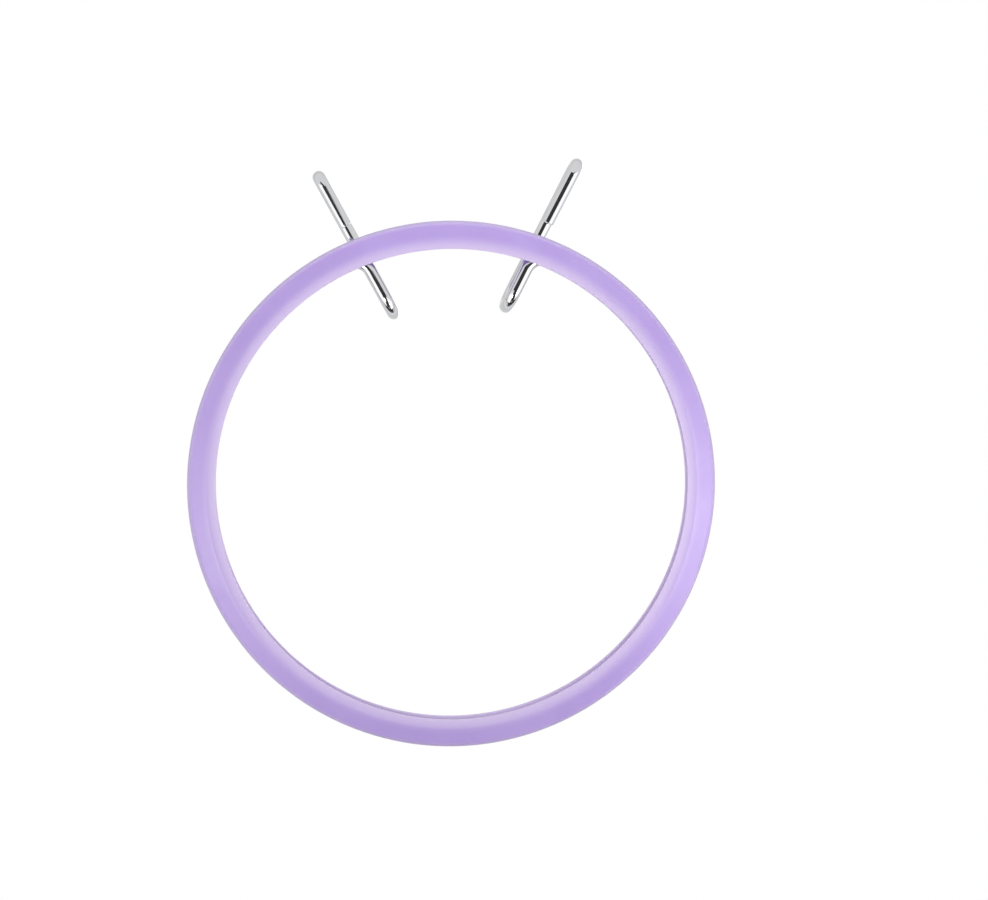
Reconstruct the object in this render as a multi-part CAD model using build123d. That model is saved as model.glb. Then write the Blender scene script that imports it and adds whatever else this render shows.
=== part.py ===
from build123d import *
import os
from math import asin, atan2, cos, degrees, hypot, pi, radians, sin, sqrt

# Spring tension hoop that holds cloth flat while it is embroidered.
# A moulded plastic ring has a groove round its inner face. A springy wire ring
# snaps into that groove over the cloth. Both ends of the wire leave the groove
# inwards, turn up and back over the plastic ring, and end as two handles that
# are squeezed together to take the wire out.
# The ring lies in the XY plane, its handles point to +Y and stand up in +Z.
# The origin is the centre of the ring, half way up its height.

# Plastic ring
hoop_diameter = 130.0
ring_width = 6.85
ring_height = 6.4
rim_rounding = 1.2
crest_rounding = 1.5
lip_slope_width = 2.2
lip_slope_drop = 0.55
lip_rounding = 0.25

# Spring wire, and the groove that holds it behind the lips
wire_diameter = 3.2
wire_recess = 0.5
groove_clearance = 0.2

# Handles: where each crosses the spring's circle, measured from +Y, how far it
# splays from +Y, and how far it reaches each way from there. The left one stands
# a little further out than the right one, as hand-bent wire does.
handle_crossing_angle = 20.35
handle_splay_angle = 27.8
right_inner_reach = 15.8
right_outer_reach = 22.1
left_inner_reach = 14.5
left_outer_reach = 24.6
room_over_ring = 5.2

# Bends of the wire, measured at their inner side
exit_bend_inside = 2.9
hairpin_inside = 0.8

# Cut end of the wire
end_gap_to_upper_run = 0.2
end_stand_off = 3.7
end_chamfer = 0.3

# The spring's flexing back reaches this far each side of -Y
back_half_angle = 45.0

# Sizes that follow from those above
hoop_radius = hoop_diameter / 2
half_height = ring_height / 2
lip_radius = hoop_radius - ring_width
wire_radius = wire_diameter / 2
spring_radius = lip_radius + wire_recess + wire_radius
groove_radius = wire_radius + groove_clearance
exit_bend_radius = exit_bend_inside + wire_radius
hairpin_radius = hairpin_inside + wire_radius
upper_run_height = half_height + room_over_ring + wire_radius
loop_radius = upper_run_height / 2

# The upright plane of the right handle, which crosses the spring's circle here
up = Vector(0, 0, 1)
outward = Vector(sin(radians(handle_splay_angle)), cos(radians(handle_splay_angle)), 0)
sideways = outward.cross(up)


def on_circle(radius, angle):
    """A point of a circle round the hoop's axis, at an angle from +X."""
    return Vector(radius * cos(radians(angle)), radius * sin(radians(angle)), 0)


crossing = on_circle(spring_radius, 90 - handle_crossing_angle)


def handle_point(along, height):
    """A point in the handle's plane, from where it crosses the spring's circle."""
    return crossing + outward * along + up * height


def along_to_circle(start, radius):
    """How far outwards from a point a line along the handle meets a circle."""
    nearest = -start.dot(outward)
    return nearest + sqrt(nearest ** 2 - start.dot(start) + radius ** 2)


def plastic_ring():
    """The grooved ring, as its section turned about the hoop's axis."""
    crest = lip_radius + lip_slope_width
    lip_top = half_height - lip_slope_drop
    groove_floor = (spring_radius + groove_radius, 0)

    def vertices_at(sketch, radius):
        return [v for v in sketch.vertices() if abs(v.X - radius) < lip_rounding]

    with BuildSketch(Plane.XZ) as section:
        with BuildLine():
            Polyline(
                (spring_radius, -groove_radius),
                (lip_radius, -groove_radius),
                (lip_radius, -lip_top),
                (crest, -half_height),
                (hoop_radius, -half_height),
                (hoop_radius, half_height),
                (crest, half_height),
                (lip_radius, lip_top),
                (lip_radius, groove_radius),
                (spring_radius, groove_radius),
            )
            ThreePointArc(
                (spring_radius, groove_radius),
                groove_floor,
                (spring_radius, -groove_radius),
            )
        make_face()
        fillet(vertices_at(section, hoop_radius), rim_rounding)
        fillet(vertices_at(section, lip_radius), lip_rounding)
        fillet(vertices_at(section, crest), crest_rounding)
    return revolve(section.sketch, Axis.Z)


def wire_along(path):
    """A round wire of the spring's diameter, along tangent edges."""
    start = Plane(origin=path @ 0, z_dir=path % 0)
    return sweep(start * Circle(wire_radius), path=path)


def spring_arc(start, end):
    """A stretch of the spring's circle between two angles from +X."""
    angles = (start, (start + end) / 2, end)
    return ThreePointArc(*[on_circle(spring_radius, angle) for angle in angles])


def exit_bend():
    """The bend from the groove into the handle's plane, tangent to both."""
    centre_circle = spring_radius - exit_bend_radius
    beside_crossing = crossing + sideways * exit_bend_radius
    along = along_to_circle(beside_crossing, centre_circle)
    centre = beside_crossing + outward * along
    on_spring = centre * (spring_radius / centre_circle)
    on_handle = handle_point(along, 0)
    halfway = (on_spring + on_handle) / 2 - centre
    middle = centre + halfway.normalized() * exit_bend_radius
    return ThreePointArc(on_spring, middle, on_handle)


def hairpin(outer_reach):
    """The bend at the handle's outer end, aimed at the wire's cut end."""
    centre_along = outer_reach - hairpin_radius
    centre_height = upper_run_height - hairpin_radius
    end_along = along_to_circle(crossing, hoop_radius + end_stand_off)
    end_height = upper_run_height - wire_diameter - end_gap_to_upper_run
    run = centre_along - end_along
    rise = end_height - centre_height
    slope = atan2(rise, run) + asin(hairpin_radius / hypot(run, rise))

    def on_bend(turned):
        return handle_point(
            centre_along + hairpin_radius * sin(turned),
            centre_height + hairpin_radius * cos(turned),
        )

    bend = ThreePointArc(on_bend(0), on_bend((pi + slope) / 2), on_bend(pi + slope))
    return bend, handle_point(end_along, end_height)


def arm(inner_reach, outer_reach):
    """The wire on the +X side with its handle, from the back to the cut end."""
    exit_arc = exit_bend()
    leaves_groove = exit_arc @ 0
    groove_arc = spring_arc(
        -90 + back_half_angle, degrees(atan2(leaves_groove.Y, leaves_groove.X))
    )
    loop = ThreePointArc(
        handle_point(loop_radius - inner_reach, 0),
        handle_point(-inner_reach, loop_radius),
        handle_point(loop_radius - inner_reach, upper_run_height),
    )
    hairpin_arc, end_point = hairpin(outer_reach)
    path = Wire([
        groove_arc.edge(),
        exit_arc.edge(),
        Line(exit_arc @ 1, loop @ 0).edge(),
        loop.edge(),
        Line(loop @ 1, hairpin_arc @ 0).edge(),
        hairpin_arc.edge(),
        Line(hairpin_arc @ 1, end_point).edge(),
    ])
    wire = wire_along(path)
    cut_face = wire.faces().sort_by_distance(end_point)[0]
    return chamfer(cut_face.edges(), end_chamfer)


os.makedirs("parts", exist_ok=True)
nodes = {
    "outer_ring": plastic_ring(),
    "spring_back": wire_along(spring_arc(-90 - back_half_angle, -90 + back_half_angle)),
    "right_arm": arm(right_inner_reach, right_outer_reach),
    "left_arm": mirror(arm(left_inner_reach, left_outer_reach), Plane.YZ),
}
for name, shape in nodes.items():
    export_step(shape, f"parts/{name}.step")
    print(name, round(shape.volume, 2))
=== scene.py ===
import bmesh
import bpy
from math import asin, atan2, cos, hypot, pi, radians, sin, sqrt
from mathutils import Matrix, Vector


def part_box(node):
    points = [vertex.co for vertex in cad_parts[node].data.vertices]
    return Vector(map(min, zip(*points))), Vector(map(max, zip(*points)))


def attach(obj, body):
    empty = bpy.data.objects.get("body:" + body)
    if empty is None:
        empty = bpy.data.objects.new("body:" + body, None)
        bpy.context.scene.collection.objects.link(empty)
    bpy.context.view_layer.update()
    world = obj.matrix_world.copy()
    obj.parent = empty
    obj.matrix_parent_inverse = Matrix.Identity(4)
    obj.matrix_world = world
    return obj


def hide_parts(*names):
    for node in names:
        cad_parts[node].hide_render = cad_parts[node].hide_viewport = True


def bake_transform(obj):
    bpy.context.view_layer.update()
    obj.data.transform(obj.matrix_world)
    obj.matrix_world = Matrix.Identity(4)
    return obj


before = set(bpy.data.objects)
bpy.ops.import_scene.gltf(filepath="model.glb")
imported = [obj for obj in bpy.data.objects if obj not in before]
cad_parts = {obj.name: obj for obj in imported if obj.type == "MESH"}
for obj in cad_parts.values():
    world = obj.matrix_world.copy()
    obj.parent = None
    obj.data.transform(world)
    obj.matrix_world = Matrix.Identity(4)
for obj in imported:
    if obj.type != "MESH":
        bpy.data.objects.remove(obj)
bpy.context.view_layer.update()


# CAMERA
# The photograph looks at the face that the hoop rests on, about 7 degrees off its
# axis, so the camera stands below the hoop with +Y upwards and +X to its left.
mm = 0.001
ahead = Vector((0, 1, 0))
camera_place = Vector((32.5, 68.6, -622)) * mm
camera_aim = Vector((-10.4, 8.5, 0)) * mm
camera_roll = radians(-0.83)
focal_length_in_picture_widths = 2.57
sensor_width = 36

view_line = (camera_aim - camera_place).normalized()
view_right = view_line.cross(ahead).normalized()
view_up = view_right.cross(view_line)
bpy.ops.object.camera_add(location=camera_place)
camera = bpy.context.object
camera.name = "photo_camera"
camera.data.sensor_width = sensor_width
camera.data.lens = sensor_width * focal_length_in_picture_widths
facing = Matrix((view_right, view_up, -view_line)).transposed()
camera.rotation_euler = (facing @ Matrix.Rotation(camera_roll, 3, "Z")).to_euler()
bpy.context.scene.camera = camera
bpy.context.scene.view_settings.view_transform = "Standard"


# PLASTIC RING
# A single injection moulding in pale violet, slightly translucent plastic with a
# satin face. Its inner face has a deep round groove for the spring, with a thin
# sloping lip on each side. A fine parting line runs round the middle of its rim.
across, up = Vector((1, 0, 0)), Vector((0, 0, 1))
hoop_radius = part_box("outer_ring")[1].x
half_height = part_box("outer_ring")[1].z
wire_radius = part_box("spring_back")[1].z
ring_width = 6.85 * mm
lip_radius = hoop_radius - ring_width
wire_recess = 0.5 * mm
spring_radius = lip_radius + wire_recess + wire_radius
groove_radius = wire_radius + 0.2 * mm
lip_slope_width = 2.2 * mm
lip_slope_drop = 0.55 * mm
lip_rounding = 0.25 * mm
rim_rounding = 1.2 * mm
crest_rounding = 1.5 * mm
parting_line = 0.08 * mm
ring_steps = 600
groove_sides = 48
hair = 0.001 * mm
sharp_above = radians(35)

crest_radius = lip_radius + lip_slope_width
lip_top = half_height - lip_slope_drop
lip_turn = pi / 2 - atan2(lip_slope_drop, lip_slope_width)
crest_turn = pi / 2 - lip_turn


def leave_all():
    if bpy.context.object and bpy.context.object.mode != "OBJECT":
        bpy.ops.object.mode_set(mode="OBJECT")
    bpy.ops.object.select_all(action="DESELECT")


def begin_loop(name, sides, radius, start, heading):
    """A circle of edges that faces along the heading, in edit mode, all selected."""
    leave_all()
    bpy.ops.mesh.primitive_circle_add(
        vertices=sides, radius=radius, location=start,
        rotation=heading.to_track_quat("Z", "Y").to_euler(),
    )
    piece = bpy.context.object
    piece.name = name
    bpy.ops.object.transform_apply(location=True, rotation=True, scale=True)
    bpy.ops.object.mode_set(mode="EDIT")
    bpy.ops.mesh.select_all(action="SELECT")
    return piece


def select_points(piece, wanted):
    """Selects the vertices whose place answers to wanted, and nothing else."""
    bpy.ops.mesh.select_mode(type="VERT")
    bpy.ops.mesh.select_all(action="DESELECT")
    mesh = bmesh.from_edit_mesh(piece.data)
    for vert in mesh.verts:
        vert.select_set(wanted(vert.co))
    mesh.select_flush(True)
    bmesh.update_edit_mesh(piece.data)


def spin_selected(centre, axis, angle, steps):
    """Blender's own spin turns clockwise about its axis, so the angle is negated."""
    bpy.ops.mesh.spin(steps=steps, angle=-angle, center=centre, axis=axis)


def close_and_smooth():
    """Merges the doubled points, points the faces outwards and leaves edit mode."""
    bpy.ops.mesh.select_all(action="SELECT")
    bpy.ops.mesh.remove_doubles(threshold=hair)
    bpy.ops.mesh.normals_make_consistent(inside=False)
    bpy.ops.object.mode_set(mode="OBJECT")
    bpy.ops.object.shade_smooth_by_angle(angle=sharp_above)


def trim_length(rounding, turn):
    """How far from a corner its rounding starts."""
    return rounding * sin(turn / 2) / cos(turn / 2)


# The section starts as the groove's circle. One quarter of it stays, and the lip,
# the slope, the face and the rim are extruded from its end, then rounded.
section_centre = across * spring_radius
ring = begin_loop("plastic_ring", groove_sides, groove_radius, section_centre, ahead)
select_points(ring, lambda p: p.x < spring_radius - hair or p.z < -hair)
bpy.ops.mesh.delete(type="VERT")
select_points(ring, lambda p: p.x < spring_radius + hair)
section_corners = (
    (spring_radius, groove_radius),
    (lip_radius, groove_radius),
    (lip_radius, lip_top),
    (crest_radius, half_height),
    (hoop_radius, half_height),
    (hoop_radius, parting_line),
    (hoop_radius - parting_line, 0),
)
for here, there in zip(section_corners, section_corners[1:]):
    step = Vector((there[0] - here[0], 0, there[1] - here[1]))
    bpy.ops.mesh.extrude_region_move(TRANSFORM_OT_translate={"value": step})
for corner, trim, segments in (
    (section_corners[1], lip_rounding, 5),
    (section_corners[2], trim_length(lip_rounding, lip_turn), 5),
    (section_corners[3], trim_length(crest_rounding, crest_turn), 4),
    (section_corners[4], rim_rounding, 10),
):
    place = Vector((corner[0], 0, corner[1]))
    select_points(ring, lambda p: (p - place).length < hair)
    bpy.ops.mesh.bevel(offset=trim, segments=segments, profile=0.5, affect="VERTICES")
bpy.ops.mesh.select_all(action="SELECT")
spin_selected((0, 0, 0), up, 2 * pi, ring_steps)
bpy.ops.mesh.select_all(action="SELECT")
bpy.ops.mesh.remove_doubles(threshold=hair)
bpy.ops.object.mode_set(mode="OBJECT")
bpy.ops.object.modifier_add(type="MIRROR")
ring.modifiers[-1].use_axis = (False, False, True)
ring.modifiers[-1].merge_threshold = hair
bpy.ops.object.modifier_apply(modifier=ring.modifiers[-1].name)
bpy.ops.object.mode_set(mode="EDIT")
close_and_smooth()
# The flat faces are kept flat where roundings meet them.
bpy.ops.object.modifier_add(type="WEIGHTED_NORMAL")
ring.modifiers[-1].keep_sharp = True
bpy.ops.object.modifier_apply(modifier=ring.modifiers[-1].name)


def new_material(name):
    material = bpy.data.materials.new(name)
    material.use_nodes = True
    return material, material.node_tree, material.node_tree.nodes["Principled BSDF"]


def node(tree, kind, values=None, **settings):
    """A node with its settings, and with values or links in its named sockets."""
    made = tree.nodes.new(kind)
    for key, value in settings.items():
        setattr(made, key, value)
    for key, value in (values or {}).items():
        if isinstance(value, bpy.types.NodeSocket):
            tree.links.new(value, made.inputs[key])
        else:
            made.inputs[key].default_value = value
    return made


def object_place(tree):
    return node(tree, "ShaderNodeTexCoord").outputs["Object"]


def give_relief(tree, shader, height, strength, depth):
    bump = node(tree, "ShaderNodeBump", {
        "Height": height, "Strength": strength, "Distance": depth,
    })
    tree.links.new(bump.outputs["Normal"], shader.inputs["Normal"])


def between(tree, value, low, high, to_low=0.0, to_high=1.0):
    """A value mapped smoothly from one range to another."""
    made = node(tree, "ShaderNodeMapRange", {
        "Value": value, "From Min": low, "From Max": high,
        "To Min": to_low, "To Max": to_high,
    }, interpolation_type="SMOOTHSTEP")
    return made.outputs["Result"]


def maths(tree, operation, *values):
    return node(tree, "ShaderNodeMath", dict(enumerate(values)), operation=operation).outputs[0]


def mix_colours(tree, fac, first, second):
    made = node(tree, "ShaderNodeMix", data_type="RGBA")
    for key, value in ((0, fac), (6, first), (7, second)):
        if isinstance(value, bpy.types.NodeSocket):
            tree.links.new(value, made.inputs[key])
        else:
            made.inputs[key].default_value = value
    return made.outputs[2]


def marks_of_handling():
    """Finger smudges and hairline scratches, for the plastic and for the plating."""
    tree = bpy.data.node_groups.new("marks_of_handling", "ShaderNodeTree")
    for name, value in (("Smudge Size", 0.012), ("Scratch Length", 0.006)):
        socket = tree.interface.new_socket(name, in_out="INPUT", socket_type="NodeSocketFloat")
        socket.default_value = value
    for name in ("Smudges", "Scratches"):
        tree.interface.new_socket(name, in_out="OUTPUT", socket_type="NodeSocketFloat")
    given = node(tree, "NodeGroupInput").outputs
    result = node(tree, "NodeGroupOutput").inputs
    place = object_place(tree)
    smudge_scale = maths(tree, "DIVIDE", 1.0, given["Smudge Size"])
    cloud = node(tree, "ShaderNodeTexNoise", {
        "Vector": place, "Scale": smudge_scale, "Detail": 4.0, "Roughness": 0.55,
        "Distortion": 0.6,
    })
    tree.links.new(between(tree, cloud.outputs["Fac"], 0.48, 0.68), result["Smudges"])
    scratch_scale = maths(tree, "DIVIDE", 1.0, given["Scratch Length"])
    lines = []
    for turn in (0.4, 1.9):
        slanted = node(tree, "ShaderNodeMapping", {
            "Vector": place, "Rotation": (0.3, turn / 2, turn), "Scale": (1.0, 14.0, 14.0),
        })
        streaks = node(tree, "ShaderNodeTexNoise", {
            "Vector": slanted.outputs[0], "Scale": scratch_scale, "Detail": 1.0,
        })
        lines.append(between(tree, streaks.outputs["Fac"], 0.69, 0.74))
    tree.links.new(maths(tree, "MAXIMUM", *lines), result["Scratches"])
    return tree


handling = marks_of_handling()

# Where the moulding is thin, at its lips, its colour is painted paler: a painted glow of light
# coming through the thin plastic, and painted sheen on the lip's slope.
plastic, tree, shader = new_material("violet_moulded_plastic")
body_violet = (0.500, 0.372, 0.785, 1)
deep_violet = (0.475, 0.348, 0.760, 1)
# The lips' paler colour is a painted glow and painted sheen.
painted_glow_violet = (0.650, 0.545, 0.850, 1)
# Paler colour of the rim band: painted sheen on the rounded rim, with real scratches in it.
rim_sheen_violet = (0.640, 0.550, 0.830, 1)
satin_roughness, smudge_roughness, rim_band_roughness = 0.31, 0.06, 0.10
even_rim_sheen = 0.70
paling_width, palest_width = 3.6 * mm, 0.3 * mm
sheen_start_width, full_sheen_width = 1.2 * mm, 0.3 * mm
gate_height = 1.3 * mm
gate_outer_edge = 0.75 * mm, 0.60 * mm
gate_inner_edge = 0.55 * mm, 0.40 * mm
place = object_place(tree)
flat_place = node(tree, "ShaderNodeVectorMath", {0: place, 1: (1, 1, 0)}, operation="MULTIPLY")
from_axis = node(tree, "ShaderNodeVectorMath", {0: flat_place.outputs[0]},
                 operation="LENGTH").outputs["Value"]
flow = node(tree, "ShaderNodeTexNoise", {
    "Vector": place, "Scale": 38.0, "Detail": 3.0, "Roughness": 0.5, "Distortion": 0.8,
})
flowed = between(tree, flow.outputs["Fac"], 0.35, 0.65)
# Painted glow and sheen: the colour grows paler towards the lip's edge.
painted_glow_mask = between(tree, from_axis, lip_radius + paling_width, lip_radius + palest_width)
# Painted sheen: paler from the start of the rim's rounding outwards, over the outer wall.
rim_sheen_mask = between(tree, from_axis, hoop_radius - sheen_start_width, hoop_radius - full_sheen_width)
marks = node(tree, "ShaderNodeGroup", {
    "Smudge Size": 16 * mm, "Scratch Length": 7 * mm,
}, node_tree=handling)
colour = mix_colours(tree, flowed, body_violet, deep_violet)
colour = mix_colours(tree, painted_glow_mask, colour, painted_glow_violet)
# An even painted sheen over the rim band, plus the real scratches, which are paler still.
sheen_plus_scratches = maths(tree, "ADD", even_rim_sheen, marks.outputs["Scratches"])
rim_sheen_and_scratches = maths(tree, "MULTIPLY", rim_sheen_mask, sheen_plus_scratches)
colour = mix_colours(tree, rim_sheen_and_scratches, colour, rim_sheen_violet)
tree.links.new(colour, shader.inputs["Base Color"])
rough = maths(tree, "MULTIPLY_ADD", marks.outputs["Smudges"], smudge_roughness, satin_roughness)
rough = maths(tree, "MULTIPLY_ADD", rim_sheen_and_scratches, rim_band_roughness, rough)
tree.links.new(rough, shader.inputs["Roughness"])
shader.inputs["IOR"].default_value = 1.46
shader.inputs["Subsurface Weight"].default_value = 0.25
shader.inputs["Subsurface Radius"].default_value = (1.0, 0.8, 1.2)
shader.inputs["Subsurface Scale"].default_value = 1.6 * mm
satin = node(tree, "ShaderNodeTexNoise", {
    "Vector": place, "Scale": 2600.0, "Detail": 2.0, "Roughness": 0.6,
})
gate = node(tree, "ShaderNodeVectorMath", {0: place, 1: (0, -hoop_radius, gate_height)},
            operation="DISTANCE").outputs["Value"]
gate_rim = maths(tree, "SUBTRACT", between(tree, gate, *gate_outer_edge),
                 between(tree, gate, *gate_inner_edge))
relief = maths(tree, "MULTIPLY_ADD", gate_rim, -6.0, satin.outputs["Fac"])
relief = maths(tree, "MULTIPLY_ADD", marks.outputs["Scratches"], -0.8, relief)
give_relief(tree, shader, relief, strength=0.35, depth=0.012 * mm)
ring.data.materials.append(plastic)
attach(ring, "hoop")
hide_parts("outer_ring")


# SPRING WIRE
# One length of bright plated spring wire. It is an open circle that snaps into the
# ring's groove, with both ends bent up and over the ring as handles. It is bent
# here the same way: each bend spins the wire's end, each straight run extrudes it.
crossing_angle = radians(20.35)
splay_angle = radians(27.8)
right_reaches = 15.8 * mm, 22.1 * mm
left_reaches = 14.5 * mm, 24.6 * mm
upper_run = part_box("right_arm")[1].z - wire_radius
loop_radius = upper_run / 2
exit_bend_radius = 2.9 * mm + wire_radius
hairpin_radius = 0.8 * mm + wire_radius
end_gap = 0.2 * mm
end_stand_off = 3.7 * mm
end_chamfer = 0.3 * mm
back_half_angle = radians(45)
flex_half_angle = radians(15)
wire_sides = 64
circle_step = radians(1)
bend_step = radians(2.5)

outward = Vector((sin(splay_angle), cos(splay_angle), 0))
sideways = outward.cross(up)


def on_spring(angle):
    return spring_radius * (across * cos(angle) + ahead * sin(angle))


crossing = on_spring(pi / 2 - crossing_angle)


def handle_point(along, height):
    """A point in the handle's upright plane, from where it crosses the circle."""
    return crossing + outward * along + up * height


def along_to_circle(start, radius):
    """How far outwards from a point a line along the handle meets a circle."""
    nearest = -start.dot(outward)
    return nearest + sqrt(nearest ** 2 - start.dot(start) + radius ** 2)


def bend(centre, axis, angle, step=bend_step):
    spin_selected(centre, axis, angle, round(abs(angle) / step))


def run(way, length):
    bpy.ops.mesh.extrude_region_move(TRANSFORM_OT_translate={"value": way * length})


def finish_wire():
    """Fills both ends of the wire, and smooths it."""
    bpy.ops.mesh.edge_face_add()
    bpy.ops.mesh.select_all(action="DESELECT")
    bpy.ops.mesh.select_non_manifold()
    bpy.ops.mesh.edge_face_add()
    close_and_smooth()


def circle_wire(name, start_angle, end_angle):
    """A stretch of the spring's circle."""
    start = on_spring(start_angle)
    piece = begin_loop(name, wire_sides, wire_radius, start, up.cross(start).normalized())
    bend((0, 0, 0), up, end_angle - start_angle, circle_step)
    finish_wire()
    return piece


flex_middle = -pi / 2 + back_half_angle
flex_start = flex_middle - flex_half_angle
flex_end = flex_middle + flex_half_angle
back_wire = circle_wire("spring_wire_back", -pi - flex_start, flex_start)
right_flex = circle_wire("right_flexing_wire", flex_start, flex_end)
left_flex = circle_wire("left_flexing_wire", flex_start, flex_end)

# The wire leaves the groove inwards, on a bend that meets the handle's plane.
beside = crossing + sideways * exit_bend_radius
exit_along = along_to_circle(beside, spring_radius - exit_bend_radius)
exit_centre = beside + outward * exit_along
exit_angle = atan2(exit_centre.y, exit_centre.x)
exit_turn = exit_centre.angle(-sideways)
hairpin_height = upper_run - hairpin_radius
end_along = along_to_circle(crossing, hoop_radius + end_stand_off)
leg_rise = upper_run - 2 * wire_radius - end_gap - hairpin_height
wire_end = handle_point(end_along, hairpin_height + leg_rise)


def handle_wire(name, inner_reach, outer_reach):
    """The wire on the +X side, from its flexing stretch round to its cut end."""
    start = on_spring(flex_end)
    piece = begin_loop(name, wire_sides, wire_radius, start, up.cross(start).normalized())
    bend((0, 0, 0), up, exit_angle - flex_end, circle_step)
    bend(exit_centre, up, exit_turn)
    loop_along = loop_radius - inner_reach
    run(-outward, exit_along - loop_along)
    bend(handle_point(loop_along, loop_radius), sideways, -pi)
    hairpin_along = outer_reach - hairpin_radius
    run(outward, hairpin_along - loop_along)
    # The hairpin's return leg rises towards the upper run, and ends beside the rim.
    leg_run = hairpin_along - end_along
    leg_slope = atan2(leg_rise, leg_run) + asin(hairpin_radius / hypot(leg_run, leg_rise))
    leg_length = sqrt(leg_run ** 2 + leg_rise ** 2 - hairpin_radius ** 2)
    leg_way = up * sin(leg_slope) - outward * cos(leg_slope)
    bend(handle_point(hairpin_along, hairpin_height), sideways, -(pi + leg_slope))
    run(leg_way, leg_length - end_chamfer)
    run(leg_way, end_chamfer)
    chamfer_share = 1 - end_chamfer / wire_radius
    bpy.ops.transform.resize(value=(chamfer_share,) * 3, center_override=wire_end)
    finish_wire()
    return piece


right_wire = handle_wire("right_handle_wire", *right_reaches)
left_wire = handle_wire("left_handle_wire", *left_reaches)

# Bright nickel plate, smooth but for faint smudges, hairlines and tiny pits.
plating, tree, shader = new_material("bright_plated_wire")
bright_nickel = (0.650, 0.650, 0.655, 1)
cool_nickel = (0.615, 0.620, 0.640, 1)
smudged_nickel = (0.520, 0.520, 0.530, 1)
plate_roughness, scratch_roughness = 0.07, 0.10
place = object_place(tree)
marks = node(tree, "ShaderNodeGroup", {
    "Smudge Size": 9 * mm, "Scratch Length": 4 * mm,
}, node_tree=handling)
tint = node(tree, "ShaderNodeTexNoise", {"Vector": place, "Scale": 90.0, "Detail": 2.0})
tinted = between(tree, tint.outputs["Fac"], 0.35, 0.65)
smudged = maths(tree, "MULTIPLY", marks.outputs["Smudges"], 0.35)
colour = mix_colours(tree, tinted, bright_nickel, cool_nickel)
colour = mix_colours(tree, smudged, colour, smudged_nickel)
tree.links.new(colour, shader.inputs["Base Color"])
shader.inputs["Metallic"].default_value = 1
rough = maths(tree, "MULTIPLY_ADD", marks.outputs["Smudges"], smudge_roughness, plate_roughness)
rough = maths(tree, "MULTIPLY_ADD", marks.outputs["Scratches"], scratch_roughness, rough)
tree.links.new(rough, shader.inputs["Roughness"])
pits = node(tree, "ShaderNodeTexVoronoi", {"Vector": place, "Scale": 1400.0})
pitted = between(tree, pits.outputs["Distance"], 0.02, 0.16)
relief = maths(tree, "MULTIPLY_ADD", marks.outputs["Scratches"], -0.6, pitted)
give_relief(tree, shader, relief, strength=0.1, depth=0.002 * mm)


def ramp(tree, fac, *stops):
    """A colour ramp from two stops, each a place and a colour."""
    made = node(tree, "ShaderNodeValToRGB", {"Fac": fac})
    for element, (place, colour) in zip(made.color_ramp.elements, stops):
        element.position = place
        element.color = (*colour, 1)
    return made.outputs["Color"]


# The cut end is bare sheared steel, duller than the plating round it.
cut_steel, tree, shader = new_material("sheared_wire_end")
dark_steel, light_steel = (0.22, 0.22, 0.22), (0.45, 0.45, 0.45)
place = object_place(tree)
shear = node(tree, "ShaderNodeMapping", {"Vector": place, "Scale": (1, 1, 9)})
shear = node(tree, "ShaderNodeTexNoise", {"Vector": shear.outputs[0], "Scale": 900.0})
colour = ramp(tree, shear.outputs["Fac"], (0.35, dark_steel), (0.65, light_steel))
rough = between(tree, shear.outputs["Fac"], 0.3, 0.7, to_low=0.3, to_high=0.5)
tree.links.new(colour, shader.inputs["Base Color"])
tree.links.new(rough, shader.inputs["Roughness"])
shader.inputs["Metallic"].default_value = 1
give_relief(tree, shader, shear.outputs["Fac"], strength=0.4, depth=0.02 * mm)

wires = back_wire, right_flex, left_flex, right_wire, left_wire
for piece in wires:
    piece.data.materials.append(plating)
for piece in (right_wire, left_wire):
    piece.data.materials.append(cut_steel)
    cut_face = min(piece.data.polygons, key=lambda face: (face.center - wire_end).length)
    cut_face.material_index = 1


def turn_over(piece):
    """Makes a piece that is built on the +X side into its mirror image."""
    leave_all()
    piece.select_set(True)
    bpy.context.view_layer.objects.active = piece
    piece.scale.x = -1
    bpy.ops.object.transform_apply(location=False, rotation=False, scale=True)
    bpy.ops.object.mode_set(mode="EDIT")
    close_and_smooth()


turn_over(left_flex)
turn_over(left_wire)
blend_margin = radians(1.5)
for flex, side, handle in ((right_flex, 1, "right_handle"), (left_flex, -1, "left_handle")):
    start, end = on_spring(flex_start + blend_margin), on_spring(flex_end - blend_margin)
    start.x, end.x = start.x * side, end.x * side
    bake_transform(flex)
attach(back_wire, "spring")
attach(right_wire, "right_handle")
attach(left_wire, "left_handle")
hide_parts("spring_back")
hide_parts("right_arm")
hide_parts("left_arm")


# FLOOR
# A plain pale table top under the hoop. It shows from above only, because the
# photograph's own camera looks up at the hoop from below it.
floor_gap = 0.05 * mm
floor_radius = 1.5
fade_from, fade_to = 1.3, 0.35
leave_all()
bpy.ops.mesh.primitive_circle_add(
    vertices=96, radius=floor_radius, fill_type="NGON",
    location=(0, 0, -half_height - floor_gap),
)
floor = bpy.context.object
floor.name = "pale_floor"
bpy.ops.object.transform_apply(location=True, rotation=True, scale=True)
paper, tree, shader = new_material("pale_floor_paper")
cool_white, warm_white = (0.825, 0.825, 0.830), (0.850, 0.850, 0.850)
place = object_place(tree)
fibres = node(tree, "ShaderNodeTexNoise", {"Vector": place, "Scale": 260.0, "Detail": 5.0})
colour = ramp(tree, fibres.outputs["Fac"], (0.3, cool_white), (0.7, warm_white))
tree.links.new(colour, shader.inputs["Base Color"])
shader.inputs["Roughness"].default_value = 0.75
give_relief(tree, shader, fibres.outputs["Fac"], strength=0.1, depth=0.03 * mm)
away = node(tree, "ShaderNodeVectorMath", {0: place}, operation="LENGTH").outputs["Value"]
near = between(tree, away, fade_from, fade_to)
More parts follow.
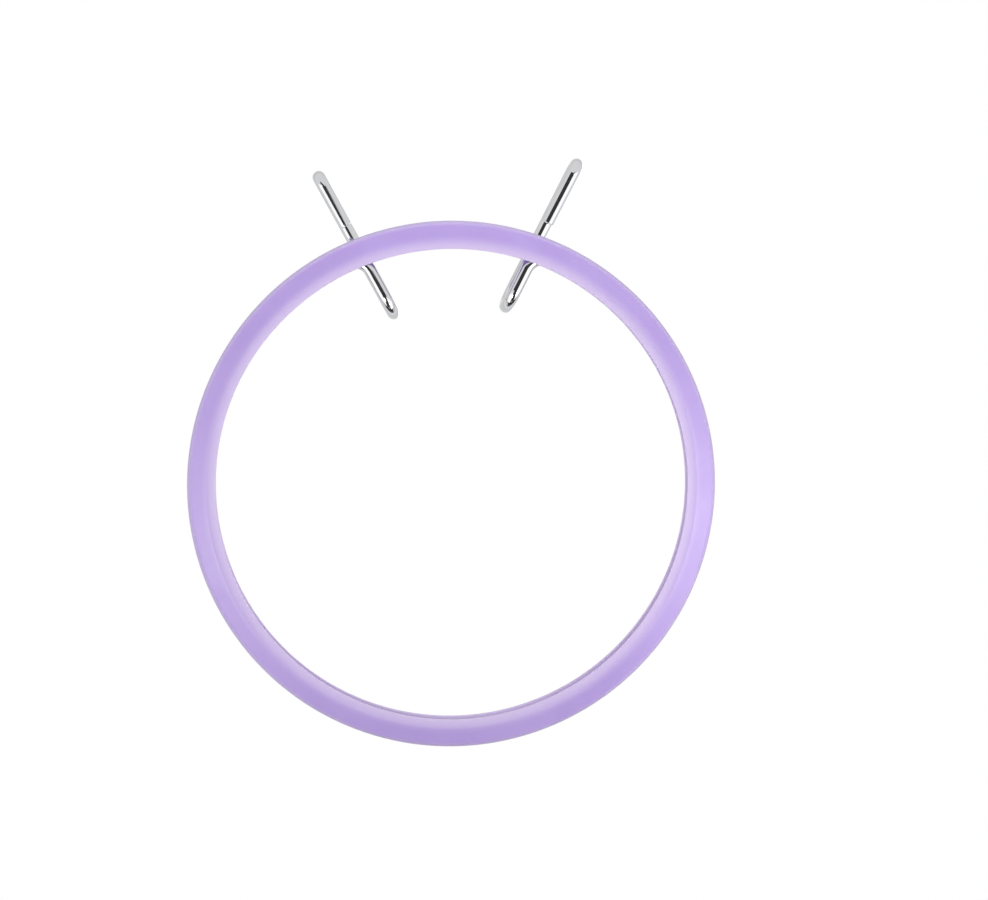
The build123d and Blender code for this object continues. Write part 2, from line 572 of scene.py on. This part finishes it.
seen = node(tree, "ShaderNodeLightPath").outputs["Is Camera Ray"]
seen = maths(tree, "MULTIPLY", seen, near)
below = node(tree, "ShaderNodeNewGeometry").outputs["Backfacing"]
seen = maths(tree, "MULTIPLY", seen, maths(tree, "SUBTRACT", 1.0, below))
clear = node(tree, "ShaderNodeBsdfTransparent")
shown = node(tree, "ShaderNodeMixShader", {0: seen})
tree.links.new(clear.outputs[0], shown.inputs[1])
tree.links.new(shader.outputs[0], shown.inputs[2])
tree.links.new(shown.outputs[0], tree.nodes["Material Output"].inputs["Surface"])
floor.data.materials.append(paper)


# LIGHT
# Soft lamps above and below, in a white surround. Painted cards that only show
# in reflections give the plated wire its white and dark streaks.
world = bpy.context.scene.world or bpy.data.worlds.new("white_surround")
bpy.context.scene.world = world
world.use_nodes = True
tree = world.node_tree
tree.nodes.clear()
rays = node(tree, "ShaderNodeLightPath").outputs
direct = maths(tree, "MAXIMUM", rays["Is Camera Ray"], rays["Is Glossy Ray"])
direct = maths(tree, "MAXIMUM", direct, rays["Is Transmission Ray"])
surround_level = 0.55
strength = node(tree, "ShaderNodeMapRange", {"Value": direct, "To Min": surround_level})
background = node(tree, "ShaderNodeBackground", {
    "Color": (1, 1, 1, 1), "Strength": strength.outputs["Result"],
})
surround = node(tree, "ShaderNodeOutputWorld")
tree.links.new(background.outputs[0], surround.inputs["Surface"])


def soft_lamp(name, place, aim, size, power, mirrored=True, tint=(1, 1, 1)):
    """A round lamp. One that isn't mirrored leaves no spot on the plating."""
    leave_all()
    bpy.ops.object.light_add(type="AREA", location=place)
    lamp = bpy.context.object
    lamp.name = name
    lamp.rotation_euler = (Vector(aim) - Vector(place)).to_track_quat("-Z", "Y").to_euler()
    lamp.data.shape = "DISK"
    lamp.data.size = size
    lamp.data.energy = power
    lamp.data.color = tint
    lamp.visible_glossy = mirrored


warm = (1.0, 0.99, 0.93)
soft_lamp("lamp_below_right", (-0.078, -0.020, -0.09), (-0.062, -0.012, 0),
          size=0.05, power=0.033, tint=warm)
soft_lamp("lamp_below_left", (0.066, -0.035, -0.14), (0.06, -0.02, 0),
          size=0.05, power=0.045, tint=warm)
soft_lamp("lamp_below_top", (0, 0.11, -0.14), (0, 0.065, 0),
          size=0.08, power=0.086, mirrored=False, tint=warm)
soft_lamp("lamp_above_key", (-0.45, -0.35, 0.60), (0, 0, 0),
          size=0.45, power=2.6, mirrored=False)
soft_lamp("lamp_above_fill", (0.55, -0.20, 0.50), (0, 0, 0),
          size=0.50, power=1.4, mirrored=False)


def reflected_card(name, place, width, depth, level, patches=(), tilt=0):
    """A card that only reflections see. On it are soft-edged patches of other levels,
    each given by its centre, length, breadth, turn and level.
    """
    leave_all()
    bpy.ops.mesh.primitive_plane_add(size=1, location=place, rotation=(tilt, 0, 0))
    card = bpy.context.object
    card.name = name
    card.scale = (width, depth, 1)
    bpy.ops.object.transform_apply(location=True, rotation=True, scale=True)
    felt, tree, shader = new_material(name)
    spot = object_place(tree)
    grain = node(tree, "ShaderNodeTexNoise", {"Vector": spot, "Scale": 40.0})
    light = between(tree, grain.outputs["Fac"], 0.0, 1.0, level * 0.95, level * 1.05)
    for centre, length, breadth, turn, patch_level in patches:
        patch = node(tree, "ShaderNodeMapping", {
            "Vector": spot, "Location": (*centre, place[2]), "Rotation": (0, 0, turn),
        }, vector_type="TEXTURE")
        from_centre = node(tree, "ShaderNodeSeparateXYZ", {"Vector": patch.outputs[0]}).outputs
        covers = []
        for way, half in zip(from_centre, (length / 2, breadth / 2)):
            away = maths(tree, "ABSOLUTE", way)
            covers.append(between(tree, away, half + soft_edge, half - soft_edge))
        cover = maths(tree, "MULTIPLY", *covers)
        uncovered = maths(tree, "SUBTRACT", 1.0, cover)
        light = maths(tree, "ADD", maths(tree, "MULTIPLY", light, uncovered),
                      maths(tree, "MULTIPLY", cover, patch_level))
    tree.links.new(light, shader.inputs["Emission Color"])
    shader.inputs["Emission Strength"].default_value = 1
    shader.inputs["Base Color"].default_value = (0, 0, 0, 1)
    shader.inputs["Specular IOR Level"].default_value = 0
    card.data.materials.append(felt)
    card.visible_camera = card.visible_diffuse = card.visible_shadow = False
    card.visible_transmission = False


white, pale, grey, dark = 1.6, 1.0, 0.85, 0.05
soft_edge = 0.012
reflected_card("card_below", (0, -0.55, -0.28), 2.4, 2.2, pale, (
    ((0, -0.42), 1.90, 0.92, 0, white),
    ((-0.09, -0.42), 0.80, 0.19, radians(75), dark),
    ((0.09, -0.42), 0.80, 0.19, radians(-75), dark),
    ((0, -1.15), 2.20, 1.00, 0, dark),
    ((0.135, 0.128), 0.29, 0.12, splay_angle, dark),
    ((0.035, 0.000), 0.235, 0.15, -splay_angle, dark),
    ((-0.09, 0.075), 0.14, 0.05, -splay_angle, dark),
))
reflected_card("dark_far_end", (0, -1.7, -0.08), 2.4, 0.44, dark, tilt=pi / 2)
reflected_card("white_card_above", (-0.40, 0, 0.70), 0.50, 0.50, white)
reflected_card("grey_card_above", (0, 0, 0.75), 3.2, 3.2, grey)
